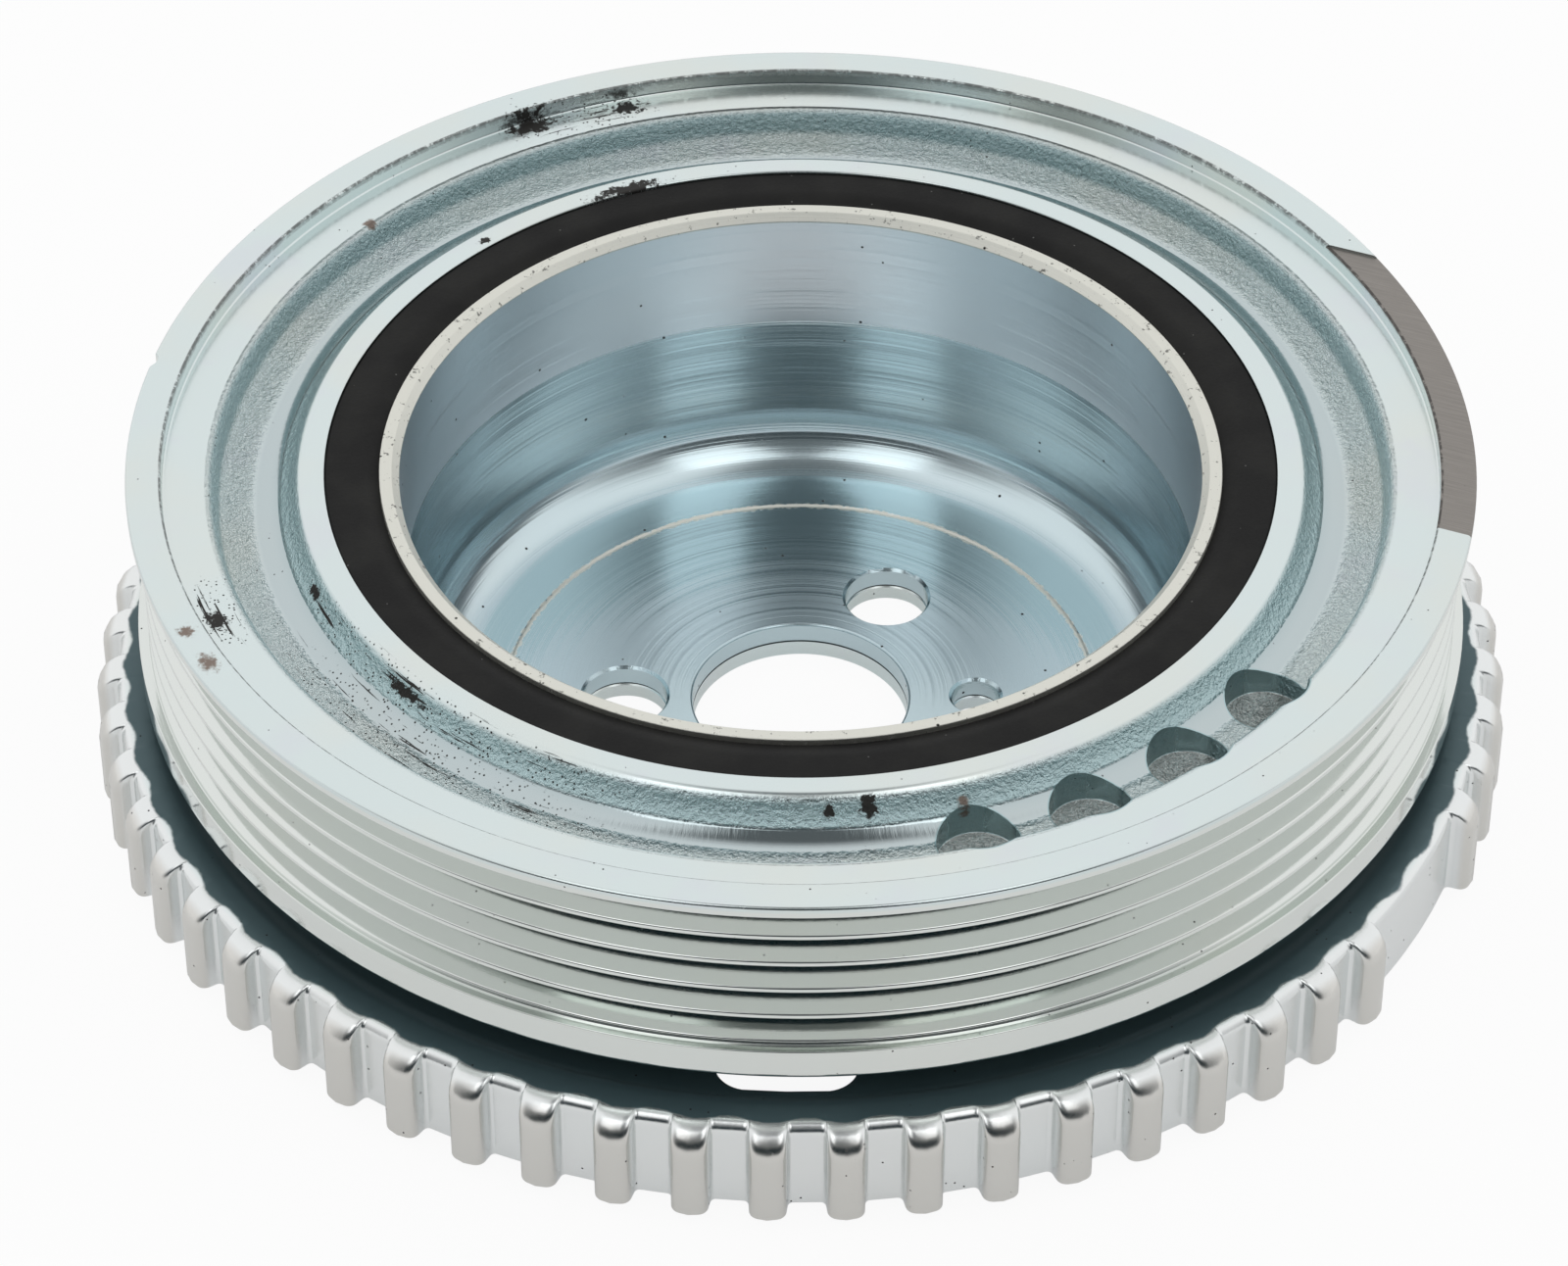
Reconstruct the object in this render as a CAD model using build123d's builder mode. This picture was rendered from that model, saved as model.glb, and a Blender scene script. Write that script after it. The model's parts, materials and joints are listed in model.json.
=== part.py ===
"""Crankshaft harmonic balancer: drawn hub, damping rubber, grooved inertia ring and toothed tone wheel.

Millimetres. The axis is Z, the engine is below and the free end of the crankshaft is above.
The origin is on the axis, on the rear face that seats on the crankshaft.
"""
import os
from math import radians, sqrt, tan

from build123d import *

# Crankshaft seat: centre bore, bolt circle and dowel
bore_d = 23.5
bolt_circle_d = 38.2
bolt_hole_d = 9.2
bolt_count = 3
first_bolt_angle = 60.0
dowel_d = 5.3
dowel_angle = 0.0
hole_chamfer = 0.35

# Hub, a drawn cup
hub_inner_r = 42.2
hub_wall = 2.1
hub_floor = 2.5
hub_depth = 33.4
hub_corner_r = 6.7
lip_chamfer = 0.8
facing_r = 32.1
facing_depth = 0.2

# Damping rubber
rubber_width = 5.7
rubber_height = 20.2
rubber_dip = 0.7
rubber_dip_width = 2.0

# Inertia ring, radial widths from the rubber outwards
collar_width = 2.6
collar_slope = 2.2
recess_floor_width = 6.3
recess_draft = 0.6
face_width = 5.3
rim_width = 3.7

# Inertia ring, heights measured down from the rim's top face
rim_rise = 2.0
ring_height = 23.3
collar_drop = 1.7
face_drop = 1.9
recess_depth = 3.3
recess_edge_r = 1.3
recess_corner_r = 1.0
collar_edge_r = 1.0
rim_chamfer = 0.3
bottom_edge_r = 0.8

# Belt grooves
rib_count = 5
rib_pitch = 3.56
groove_angle = 40.0
groove_depth = 2.9
crest_flat = 0.5
crest_drop = 1.1
first_groove_drop = 3.2

# Balance and timing marks on the ring
drill_d = 8.5
drill_count = 4
drill_depth = 2.6
drill_point_angle = 130.0
first_drill_angle = -72.5
drill_step_angle = 12.0
patch_depth = 0.25
patch_start_angle = -12.0
patch_end_angle = 29.0
patch_slant = -22.0
notch_r = 1.6
notch_depth = 0.65
notch_angle = 168.5

# Tone wheel, one pressed sheet
sheet = 1.8
tooth_pitches = 60
missing_teeth = 2
first_tooth_angle = -20.45
tooth_overhang = 2.8
tooth_height = 2.45
tooth_foot_width = 4.0
tooth_tip_width = 3.4
tooth_crown = 0.5
tooth_shoulder_r = 3.0
inner_foot_width = 2.2
inner_tip_width = 1.6
root_bend_r = 1.2
skirt_height = 10.9
skirt_lift = 1.6
dish_gap = 2.0
dish_draft = 1.6
dish_bend_r = 3.0
disc_drop = 1.2
disc_step_run = 1.8
disc_step_r = 2.4
toothed_rim_width = 3.7
window_count = 6
window_width = 7.0
window_length = 14.4
window_edge_gap = 0.7
first_window_angle = -91.2

# Clear length for cutting tools that run past a face
past = 1.0

# Heights above the crankshaft seat
hub_bottom_z = sheet
floor_z = hub_bottom_z + hub_floor
lip_z = floor_z + hub_depth
rim_z = lip_z + rim_rise
ring_bottom_z = rim_z - ring_height
collar_z = rim_z - collar_drop
face_z = rim_z - face_drop
recess_z = face_z - recess_depth
rubber_top_z = lip_z
plate_z = skirt_lift + skirt_height
disc_z = plate_z - disc_drop

# Radii, stacked outwards from the hub
bore_r = bore_d / 2
hub_outer_r = hub_inner_r + hub_wall
ring_bore_r = hub_outer_r + rubber_width
collar_r = ring_bore_r + collar_width
collar_foot_r = collar_r + collar_slope
recess_foot_r = collar_foot_r + recess_floor_width
face_inner_r = recess_foot_r + recess_draft
rim_inner_r = face_inner_r + face_width
rim_r = rim_inner_r + rim_width
crest_r = rim_r - crest_drop
tooth_root_r = rim_r + tooth_overhang
tooth_tip_r = tooth_root_r + tooth_height
dish_r = hub_outer_r + dish_gap
disc_step_outer_r = tooth_root_r - toothed_rim_width
disc_step_inner_r = disc_step_outer_r - disc_step_run

tooth_angle = 360.0 / tooth_pitches


def tooth_plan(inner_r, root_r, tip_r, foot_width, tip_width):
    """Plan of one tooth that points along X, from inner_r out to its crowned tip."""
    foot_x = sqrt(root_r**2 - (foot_width / 2) ** 2)
    corner_x = tip_r - tooth_crown
    with BuildSketch() as tooth:
        with BuildLine():
            Polyline(
                (corner_x, -tip_width / 2),
                (foot_x, -foot_width / 2),
                (inner_r, -foot_width / 2),
                (inner_r, foot_width / 2),
                (foot_x, foot_width / 2),
                (corner_x, tip_width / 2),
            )
            ThreePointArc((corner_x, tip_width / 2), (tip_r, 0), (corner_x, -tip_width / 2))
        make_face()
    return tooth.sketch


def ring_of_teeth(tooth):
    """Copy a tooth round the axis into the sketch in hand, leaving the gap of missing teeth."""
    teeth = tooth_pitches - missing_teeth
    with PolarLocations(0, teeth, first_tooth_angle, tooth_angle * (teeth - 1), endpoint=True):
        add(tooth)


def shoulder_outline(tip_r, top_z, shoulder_r):
    """Draw the section of what is cleared above the rounded tooth shoulders."""
    CenterArc((tip_r - shoulder_r, top_z - shoulder_r), shoulder_r, 0, 90)
    Polyline(
        (tip_r - shoulder_r, top_z),
        (tip_r - shoulder_r, top_z + past),
        (tip_r + past, top_z + past),
        (tip_r + past, top_z - shoulder_r),
        (tip_r, top_z - shoulder_r),
    )


def crankshaft_holes():
    """Cut the bolt circle and the dowel hole through the part in hand."""
    with PolarLocations(bolt_circle_d / 2, bolt_count, start_angle=first_bolt_angle):
        Hole(bolt_hole_d / 2)
    with PolarLocations(bolt_circle_d / 2, 1, start_angle=dowel_angle):
        Hole(dowel_d / 2)


# Hub: a drawn cup with a faced floor
with BuildPart() as hub:
    with BuildSketch(Plane.XZ):
        with BuildLine():
            FilletPolyline(
                (bore_r, hub_bottom_z),
                (hub_outer_r, hub_bottom_z),
                (hub_outer_r, lip_z),
                (hub_inner_r + lip_chamfer, lip_z),
                (hub_inner_r, lip_z - lip_chamfer),
                (hub_inner_r, floor_z + facing_depth),
                (facing_r, floor_z + facing_depth),
                (facing_r, floor_z),
                (bore_r, floor_z),
                radius=(0, hub_corner_r + (hub_wall + hub_floor) / 2, 0, 0, 0, hub_corner_r, 0, 0, 0),
                close=True,
            )
        make_face()
    revolve(axis=Axis.Z)
    crankshaft_holes()
    hole_edges = hub.faces().sort_by(Axis.Z)[0].inner_wires().edges()
    chamfer(hole_edges, hole_chamfer)
hub.part.label = "hub"

# Damping rubber: fills the gap between hub and ring, with a dip beside the hub lip
with BuildPart() as rubber_ring:
    with BuildSketch(Plane.XZ):
        with BuildLine():
            Polyline(
                (hub_outer_r, rubber_top_z - rubber_dip),
                (hub_outer_r, rubber_top_z - rubber_height),
                (ring_bore_r, rubber_top_z - rubber_height),
                (ring_bore_r, rubber_top_z),
                (hub_outer_r + rubber_dip_width, rubber_top_z),
                (hub_outer_r, rubber_top_z - rubber_dip),
            )
        make_face()
    revolve(axis=Axis.Z)
rubber_ring.part.label = "rubber_ring"

# Inertia ring: turned section first, then grooves, drillings, patch and notch
with BuildPart() as inertia_ring:
    with BuildSketch(Plane.XZ):
        with BuildLine():
            FilletPolyline(
                (ring_bore_r, ring_bottom_z),
                (rim_r, ring_bottom_z),
                (rim_r, rim_z - rim_chamfer),
                (rim_r - rim_chamfer, rim_z),
                (rim_inner_r, rim_z),
                (rim_inner_r, face_z),
                (face_inner_r, face_z),
                (recess_foot_r, recess_z),
                (collar_foot_r, recess_z),
                (collar_r, collar_z),
                (ring_bore_r, collar_z),
                radius=(
                    0,
                    bottom_edge_r,
                    0,
                    0,
                    0,
                    0,
                    recess_edge_r,
                    recess_corner_r,
                    recess_corner_r,
                    collar_edge_r,
                    0,
                ),
                close=True,
            )
        make_face()
    revolve(axis=Axis.Z)

    # Five V grooves between the flanges, with a flat crest between neighbours
    flank_run = tan(radians(groove_angle / 2))
    mouth_half = (rib_pitch - crest_flat) / 2
    root_half = mouth_half - groove_depth * flank_run
    mouth_r = rim_r + past
    open_half = mouth_half + (mouth_r - crest_r) * flank_run
    first_groove_z = rim_z - first_groove_drop
    last_groove_z = first_groove_z - (rib_count - 1) * rib_pitch
    with BuildSketch(Plane.XZ):
        for rib in range(rib_count):
            groove_z = first_groove_z - rib * rib_pitch
            with BuildLine():
                Polyline(
                    (mouth_r, groove_z + open_half),
                    (crest_r - groove_depth, groove_z + root_half),
                    (crest_r - groove_depth, groove_z - root_half),
                    (mouth_r, groove_z - open_half),
                    (mouth_r, groove_z + open_half),
                )
            make_face()
        # Crests stand below the flanges, and a small step runs out to the lower flange
        with BuildLine():
            Polyline(
                (mouth_r, first_groove_z),
                (crest_r, first_groove_z),
                (crest_r, last_groove_z - mouth_half - crest_flat),
                (mouth_r, last_groove_z - mouth_half - crest_flat),
                (mouth_r, first_groove_z),
            )
        make_face()
    revolve(axis=Axis.Z, mode=Mode.SUBTRACT)

    # Balance drillings with conical bottoms, in the recess floor
    drill_r = drill_d / 2
    drill_circle_r = (recess_foot_r + collar_foot_r) / 2 + recess_draft
    drill_bottom_z = recess_z - drill_depth
    point_height = drill_r / tan(radians(drill_point_angle / 2))
    drill_sweep = drill_step_angle * (drill_count - 1)
    with Locations(Plane.XY.offset(drill_bottom_z)):
        with PolarLocations(drill_circle_r, drill_count, first_drill_angle, drill_sweep, endpoint=True):
            Cylinder(
                drill_r,
                rim_z - drill_bottom_z,
                align=(Align.CENTER, Align.CENTER, Align.MIN),
                mode=Mode.SUBTRACT,
            )
            Cone(
                0,
                drill_r,
                point_height,
                align=(Align.CENTER, Align.CENTER, Align.MAX),
                mode=Mode.SUBTRACT,
            )

    # Milled balance patch: a shallow cut across the rim between two slanted ends
    patch_middle_r = (rim_inner_r + rim_r) / 2
    patch_start = Vector(patch_middle_r, 0).rotate(Axis.Z, patch_start_angle)
    patch_end = Vector(patch_middle_r, 0).rotate(Axis.Z, patch_end_angle)
    patch_reach = Vector(rim_r / 2, 0).rotate(Axis.Z, patch_slant)
    with BuildSketch(Plane.XY.offset(rim_z)):
        Circle(rim_r + past)
        Circle(rim_inner_r - face_width / 2, mode=Mode.SUBTRACT)
        with BuildLine():
            Polyline(
                patch_start - patch_reach,
                patch_start + patch_reach,
                patch_end + patch_reach,
                patch_end - patch_reach,
                patch_start - patch_reach,
            )
        make_face(mode=Mode.INTERSECT)
    extrude(amount=-patch_depth, mode=Mode.SUBTRACT)

    # Timing notch in the edge of the front flange
    with BuildSketch(Plane.XY.offset(rim_z)):
        with PolarLocations(rim_r + notch_r - notch_depth, 1, start_angle=notch_angle):
            Circle(notch_r)
    extrude(amount=-first_groove_drop, mode=Mode.SUBTRACT)
inertia_ring.part.label = "inertia_ring"

# Tone wheel: toothed skirt, flat toothed rim, windowed disc and dished centre in one sheet
outer_tooth = tooth_plan(
    tooth_root_r - root_bend_r - past,
    tooth_root_r,
    tooth_tip_r,
    tooth_foot_width,
    tooth_tip_width,
)
inner_tooth = tooth_plan(
    tooth_root_r - sheet - past,
    tooth_root_r - sheet,
    tooth_tip_r - sheet,
    inner_foot_width,
    inner_tip_width,
)
with BuildPart() as tone_wheel:
    # A drum with a bent upper edge, and teeth that round over at a larger radius
    with BuildSketch(Plane.XZ):
        with BuildLine():
            FilletPolyline(
                (0, skirt_lift),
                (tooth_root_r, skirt_lift),
                (tooth_root_r, plate_z),
                (0, plate_z),
                radius=(0, 0, root_bend_r, 0),
                close=True,
            )
        make_face()
    revolve(axis=Axis.Z)
    with BuildSketch(Plane.XY.offset(skirt_lift)):
        ring_of_teeth(outer_tooth)
    extrude(amount=skirt_height)
    with BuildSketch(Plane.XZ):
        with BuildLine():
            shoulder_outline(tooth_tip_r, plate_z, tooth_shoulder_r)
        make_face()
    revolve(axis=Axis.Z, mode=Mode.SUBTRACT)

    # The inside of the skirt follows the teeth, one sheet thickness in
    with BuildSketch(Plane.XY.offset(skirt_lift)):
        Circle(tooth_root_r - sheet)
        ring_of_teeth(inner_tooth)
    hollow = extrude(amount=skirt_height - sheet, mode=Mode.PRIVATE)
    with BuildSketch(Plane.XZ):
        with BuildLine():
            shoulder_outline(tooth_tip_r - sheet, plate_z - sheet, tooth_shoulder_r - sheet)
        make_face()
    shoulder = revolve(axis=Axis.Z, mode=Mode.PRIVATE)
    add(hollow - shoulder, mode=Mode.SUBTRACT)

    # The dished centre takes the place of the flat plate inside the toothed rim
    with BuildSketch(Plane.XY.offset(plate_z)):
        Circle(disc_step_outer_r + disc_step_run)
    extrude(amount=-sheet, mode=Mode.SUBTRACT)
    with BuildSketch(Plane.XZ):
        with BuildLine():
            FilletPolyline(
                (bore_r, sheet),
                (dish_r, sheet),
                (dish_r + dish_draft, disc_z),
                (disc_step_inner_r, disc_z),
                (disc_step_outer_r, plate_z),
                (disc_step_outer_r + disc_step_run, plate_z),
                radius=(dish_bend_r, dish_bend_r, disc_step_r, disc_step_r),
            )
            offset(amount=sheet, side=Side.RIGHT)
        make_face()
    revolve(axis=Axis.Z)
    crankshaft_holes()

    # Windows in the disc, rounded at both ends
    window_middle_r = disc_step_inner_r - window_edge_gap - window_width / 2
    window_half_angle = (window_length - window_width) / 2 / radians(1) / window_middle_r
    with BuildSketch(Plane.XY.offset(plate_z)):
        for window in range(window_count):
            turn = first_window_angle + window * 360.0 / window_count
            spine = CenterArc(
                (0, 0),
                window_middle_r,
                turn - window_half_angle,
                2 * window_half_angle,
                mode=Mode.PRIVATE,
            )
            SlotArc(spine, window_width)
    extrude(amount=-skirt_height, mode=Mode.SUBTRACT)
tone_wheel.part.label = "tone_wheel"

os.makedirs("parts", exist_ok=True)
export_step(hub.part, "parts/hub.step")
export_step(rubber_ring.part, "parts/rubber_ring.step")
export_step(inertia_ring.part, "parts/inertia_ring.step")
export_step(tone_wheel.part, "parts/tone_wheel.step")
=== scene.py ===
"""Looks of a crankshaft harmonic balancer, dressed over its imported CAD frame."""
import json
from cmath import phase, rect
from math import ceil, cos, pi, radians, sin, tan
from types import SimpleNamespace

import bpy
from bpy.props import FloatProperty, FloatVectorProperty, IntProperty, PointerProperty
from mathutils import Matrix, Vector


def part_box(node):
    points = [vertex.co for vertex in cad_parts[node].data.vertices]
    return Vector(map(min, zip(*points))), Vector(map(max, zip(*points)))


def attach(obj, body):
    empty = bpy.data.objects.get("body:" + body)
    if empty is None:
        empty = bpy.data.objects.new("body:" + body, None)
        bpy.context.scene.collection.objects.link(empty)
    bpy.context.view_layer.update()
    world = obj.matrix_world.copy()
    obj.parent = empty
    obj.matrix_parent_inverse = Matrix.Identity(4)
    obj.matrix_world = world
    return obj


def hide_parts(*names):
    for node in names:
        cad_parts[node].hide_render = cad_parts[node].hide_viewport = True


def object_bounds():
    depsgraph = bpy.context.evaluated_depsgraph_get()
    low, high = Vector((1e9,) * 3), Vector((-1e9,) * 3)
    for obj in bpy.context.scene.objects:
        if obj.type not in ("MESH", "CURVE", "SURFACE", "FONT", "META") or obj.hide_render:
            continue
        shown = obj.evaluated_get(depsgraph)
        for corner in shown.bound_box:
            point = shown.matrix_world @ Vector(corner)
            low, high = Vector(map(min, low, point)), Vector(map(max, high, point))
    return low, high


bl_info = {
    "name": "Harmonic balancer finish",
    "version": (1, 0, 0),
    "blender": (4, 5, 0),
    "location": "View3D > Sidebar > Balancer",
    "description": "Models and finishes a harmonic balancer, and sets up a studio around it",
    "category": "Object",
}

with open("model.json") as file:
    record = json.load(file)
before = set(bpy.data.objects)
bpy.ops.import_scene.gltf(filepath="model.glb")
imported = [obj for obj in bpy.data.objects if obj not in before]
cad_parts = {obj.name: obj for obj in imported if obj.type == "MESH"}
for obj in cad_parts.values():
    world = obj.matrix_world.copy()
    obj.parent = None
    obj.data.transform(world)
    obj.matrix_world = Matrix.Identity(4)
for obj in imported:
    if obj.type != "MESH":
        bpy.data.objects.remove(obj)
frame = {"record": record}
cad_box = [list(corner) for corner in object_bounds()]
mounts = {mount["name"]: mount for mount in frame["record"]["mounts"]}

ROOT_BODY = "root"
MM = 0.001

# Modelling limits: welding distance, arc steps and the angle above which an edge stays sharp
WELD = 2e-6
FINE_ARC = radians(10)
SHEET_ARC = radians(18)
COARSE_ARC = radians(30)
SMALL_RADIUS = 0.4 * MM
SHARP_EDGE = radians(35)

# How far a cutter reaches past the piece
PAST = 2 * MM

# Steps of a full turn round the axis
ROUND_STEPS = 240
RING_STEPS = 256
HOLE_STEPS = 48
NOTCH_STEPS = 32


def length(name, description, size):
    """A length property. The size is in millimetres."""
    return FloatProperty(name=name, description=description, default=size * MM, unit="LENGTH", precision=5)


def angle(name, description, size):
    """An angle property. The size is in degrees."""
    return FloatProperty(name=name, description=description, default=radians(size), subtype="ANGLE")


def number(name, description, value):
    return FloatProperty(name=name, description=description, default=value)


def whole_number(name, description, value):
    return IntProperty(name=name, description=description, default=value)


def colour(name, description, value):
    return FloatVectorProperty(
        name=name, description=description, default=value, subtype="COLOR", size=3, min=0.0, max=1.0
    )


class HubSizes(bpy.types.PropertyGroup):
    """Sizes of the drawn cup that the frame doesn't give."""

    wall: length("Wall", "Thickness of the cup's wall", 2.1)
    floor: length("Floor", "Thickness of the cup's floor", 2.5)
    corner: length("Inner corner", "Radius between the wall and the floor", 6.7)
    chamfer: length("Lip chamfer", "Chamfer inside the lip", 0.8)
    facing: length("Facing radius", "Radius of the faced middle of the floor", 32.1)
    facing_depth: length("Facing depth", "Step at the edge of the faced middle", 0.2)
    hole_edge: length("Hole edge", "Rounding of the hole edges", 0.3)
    upper_mark: length("Upper draw mark", "From the lip down to the upper draw mark in the wall", 7.5)
    lower_mark: length("Lower draw mark", "From the lip down to the lower draw mark in the wall", 14.6)
    mark_step: length("Draw mark step", "Step of the wall at a draw mark", 0.1)
    skin: length("Eased edges", "Rounding of the lip's edges", 0.15)


class RubberSizes(bpy.types.PropertyGroup):
    """Sizes of the damping rubber."""

    dip: length("Dip", "How far the top dips beside the hub", 0.7)
    dip_width: length("Dip width", "Width of the dip beside the hub", 2.0)
    skin: length("Eased edges", "Rounding of the rubber's edges", 0.25)


class RingSizes(bpy.types.PropertyGroup):
    """Sizes of the inertia ring."""

    rim_width: length("Rim width", "Width of the top of the rim", 3.7)
    face_drop: length("Face drop", "From the rim down to the turned face", 1.9)
    face_width: length("Face width", "Width of the turned face", 5.3)
    recess_depth: length("Recess depth", "From the turned face down to the recess floor", 3.3)
    recess_draft: length("Recess draft", "Lean of the recess's outer wall", 0.6)
    recess_floor: length("Recess floor", "Width of the recess floor", 6.3)
    recess_edge: length("Recess edge", "Rounding of the recess's outer edge", 1.3)
    recess_corner: length("Recess corner", "Rounding of the other cast corners", 1.0)
    collar_foot: length("Collar foot", "Rounding at the foot of the collar's sloping wall", 5.5)
    collar_slope: length("Collar slope", "Run of the collar's sloping wall", 2.2)
    collar_drop: length("Collar drop", "From the rim down to the collar", 1.7)
    groove_pitch: length("Groove pitch", "Pitch of the belt grooves", 3.56)
    groove_count: whole_number("Grooves", "Number of belt grooves", 5)
    groove_angle: angle("Groove angle", "Angle between a groove's flanks", 40.0)
    groove_depth: length("Groove depth", "Depth of a belt groove", 2.9)
    crest_flat: length("Crest flat", "Width of the flat crest between grooves", 0.5)
    crest_drop: length("Crest drop", "How far the crests stand below the flanges", 1.1)
    first_groove: length("First groove", "From the rim down to the middle of the first groove", 3.2)
    bottom_edge: length("Bottom edge", "Rounding of the lower flange", 0.8)
    drill_radius: length("Drill radius", "Radius of a balance drilling", 4.25)
    drill_depth: length("Drill depth", "Depth of a drilling's wall below the recess floor", 2.6)
    drill_point: length("Drill point", "Height of a drilling's conical end", 1.98)
    drill_count: whole_number("Drillings", "Number of balance drillings", 4)
    drill_start: angle("First drilling", "Angle of the first drilling", -72.5)
    drill_step: angle("Drilling step", "Angle between drillings", 12.0)
    patch_depth: length("Patch depth", "Depth of the milled balance patch", 0.25)
    patch_start: angle("Patch start", "Angle of the lower end of the milled patch", -12.0)
    patch_end: angle("Patch end", "Angle of the upper end of the milled patch", 29.0)
    patch_slant: angle("Patch slant", "Direction of the milling lines", -22.0)
    notch_radius: length("Notch radius", "Radius of the timing notch", 1.6)
    notch_depth: length("Notch depth", "Depth of the timing notch", 0.65)
    notch_angle: angle("Notch angle", "Place of the timing notch", 168.5)
    skin: length("Eased edges", "Least rounding of the turned edges", 0.12)


class WheelSizes(bpy.types.PropertyGroup):
    """Sizes of the toothed tone wheel."""

    sheet: length("Sheet", "Thickness of the pressed sheet", 1.8)
    tooth_height: length("Tooth height", "From the root to the tip of a tooth", 2.45)
    pitches: whole_number("Pitches", "Tooth pitches in a full turn", 60)
    missing: whole_number("Missing teeth", "Teeth left out at the gap", 2)
    first_tooth: angle("First tooth", "Angle of the first tooth after the gap", -20.45)
    tip_width: length("Tooth tip", "Width of a tooth at its tip, outside", 3.5)
    flank_run: length("Flank run", "Lean of a tooth's flank", 0.25)
    crown: length("Crown", "How far a tooth's edges lie below its middle", 0.3)
    tip_edge: length("Tip edge", "Rounding of a tooth's edges, outside", 1.1)
    foot_edge: length("Foot edge", "Rounding at a tooth's foot, outside", 0.6)
    inner_tip_width: length("Inner tip", "Width of a tooth's hollow at its end", 1.7)
    inner_tip_edge: length("Inner tip edge", "Rounding of the hollow's corners", 0.45)
    inner_foot_edge: length("Inner foot edge", "Rounding of the hollow's mouth", 1.0)
    skirt_lift: length("Skirt lift", "Height of the skirt's edge over the seat", 1.6)
    skirt_arch: length("Skirt arch", "Rise of the skirt's edge between teeth", 0.15)
    tooth_bend: length("Tooth bend", "Radius over the top of a tooth", 3.0)
    root_bend: length("Root bend", "Radius over the top between teeth", 1.2)
    dish_gap: length("Dish gap", "Room between the hub and the dished wall", 2.0)
    dish_draft: length("Dish draft", "Lean of the dished wall", 1.6)
    dish_bend: length("Dish bend", "Bend radius of the dished wall", 3.0)
    disc_drop: length("Disc drop", "How far the disc lies below the toothed rim", 1.2)
    step_run: length("Step run", "Run of the step between disc and toothed rim", 1.8)
    step_bend: length("Step bend", "Bend radius of the step", 2.4)
    rim_width: length("Toothed rim", "From the step to the tooth roots", 3.7)
    window_count: whole_number("Windows", "Windows in the disc", 6)
    window_width: length("Window width", "Radial width of a window", 7.0)
    window_length: length("Window length", "Length of a window", 14.4)
    window_gap: length("Window gap", "From the step to a window", 0.7)
    window_start: angle("First window", "Angle of the first window", -91.2)
    hole_edge: length("Hole edge", "Rounding of the hole edges", 0.15)
    skin: length("Eased edges", "Rounding of the skirt's edges", 0.25)
    least_bend: length("Least bend", "Least bend radius inside the skirt", 0.5)


class BalancerColours(bpy.types.PropertyGroup):
    """Colours of the finishes."""

    zinc: colour("Zinc plate", "Bright zinc plate on turned and pressed faces", (0.70, 0.78, 0.78))
    zinc_warm: colour("Warm zinc", "Zinc where its film is thicker", (0.74, 0.77, 0.73))
    zinc_lilac: colour("Lilac zinc", "Zinc with a lilac film", (0.70, 0.73, 0.78))
    hub: colour("Hub zinc", "Bluer zinc inside the hub", (0.59, 0.72, 0.77))
    # Painted light: the upper wall of the cup is painted paler than the rest of the hub
    hub_wall_painted_light: colour("Hub wall", "Satin zinc on the upper wall of the hub", (0.90, 0.92, 0.95))
    # Painted shade: the cup's floor and lowest wall are painted darker
    hub_floor_painted_shade: colour("Hub floor", "Zinc on the faced floor of the hub", (0.48, 0.60, 0.64))
    # The lip colour is also painted along the faced edge as a highlight
    lip: colour("Hub lip", "Turned lip of the hub", (0.77, 0.77, 0.71))
    # Partly a real cast tone, partly painted shade: it darkens the recess walls and the drilling walls
    cast: colour("Cast walls", "Zinc over rough cast walls", (0.40, 0.54, 0.56))
    # Painted reflection: the turned foot is painted darker, standing in for the dark collar it reflects
    foot: colour("Collar foot", "Zinc on the turned foot of the collar", (0.46, 0.53, 0.55))
    belt: colour("Belt face", "Zinc in the belt grooves", (0.76, 0.78, 0.75))
    # Painted reflection: the skirt is painted brighter than the rest of the pressed sheet
    root: colour("Tooth roots", "Zinc on the skirt between the teeth", (0.86, 0.87, 0.87))
    teeth: colour("Teeth", "Zinc on the teeth", (0.66, 0.64, 0.60))
    # Painted shade: the disc's dark colour stands in for the shade under the ring
    disc: colour("Disc", "Dark film on the tone wheel's disc", (0.085, 0.14, 0.155))
    crackle: colour("Drilled steel", "Rough ends of the balance drillings", (0.62, 0.63, 0.61))
    brown: colour("Brown spots", "Spots of old grease", (0.27, 0.22, 0.19))
    milled: colour("Milled steel", "Bare milled patch", (0.39, 0.365, 0.34))
    milled_dark: colour("Milled lines", "Darker lines in the milled patch", (0.20, 0.188, 0.175))
    # Dirt also colours the painted shadow line at the rim's inner edge
    dirt: colour("Dirt", "Black smears and specks", (0.016, 0.015, 0.013))
    rubber: colour("Rubber", "Damping rubber", (0.014, 0.014, 0.014))
    rubber_worn: colour("Worn rubber", "Damping rubber where it is rubbed", (0.021, 0.021, 0.020))
    dust: colour("Dust", "Pale dust on the rubber", (0.25, 0.25, 0.24))
    floor: colour("Floor", "Pale studio floor", (0.93, 0.93, 0.93))


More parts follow.
